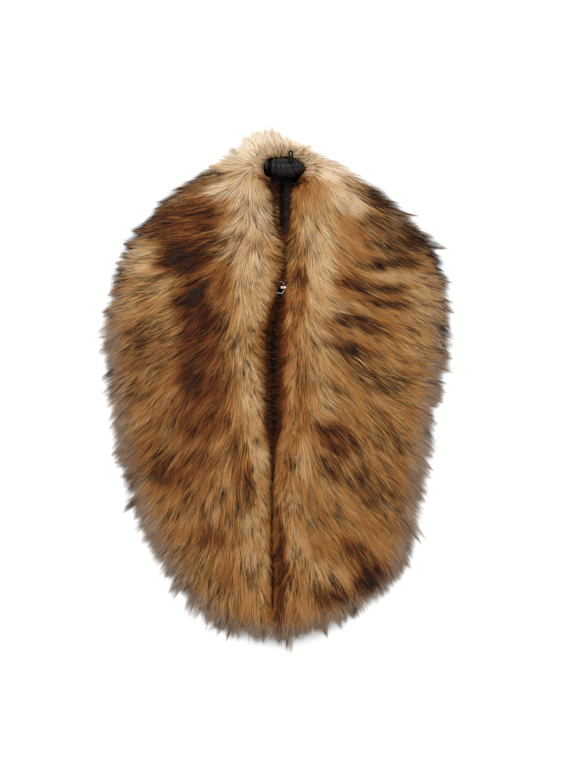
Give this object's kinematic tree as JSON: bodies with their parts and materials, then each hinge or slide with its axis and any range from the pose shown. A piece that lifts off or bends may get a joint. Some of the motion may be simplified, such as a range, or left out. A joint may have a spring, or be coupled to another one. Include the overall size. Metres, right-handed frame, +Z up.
{
  "type": "fur collar wrap laid flat",
  "caption": "Long-pile fur collar wrap with satin lining, laid flat in a closed U, with nape gather, hanging loop and hook and eye.",
  "frame": {"origin": "on the surface the wrap lies on, under the middle of its outline", "axes": "+Z up off the surface, +Y along the wrap towards the nape, +X to the right seen from above with the nape away"},
  "size_m": [0.4158, 0.6146, 0.0584],
  "materials": {
    "fur": "long tipped pile, cream to red-brown with dark tips",
    "satin": "black satin",
    "metal": "bright bent wire"
  },
  "bodies": {
    "root": {"fur_left": "fur", "fur_right": "fur", "lining_left": "satin", "lining_right": "satin", "nape_gather": "satin", "hanging_loop": "satin", "clasp_eye": "metal", "clasp_hook": "metal"}
  },
  "joints": []
}
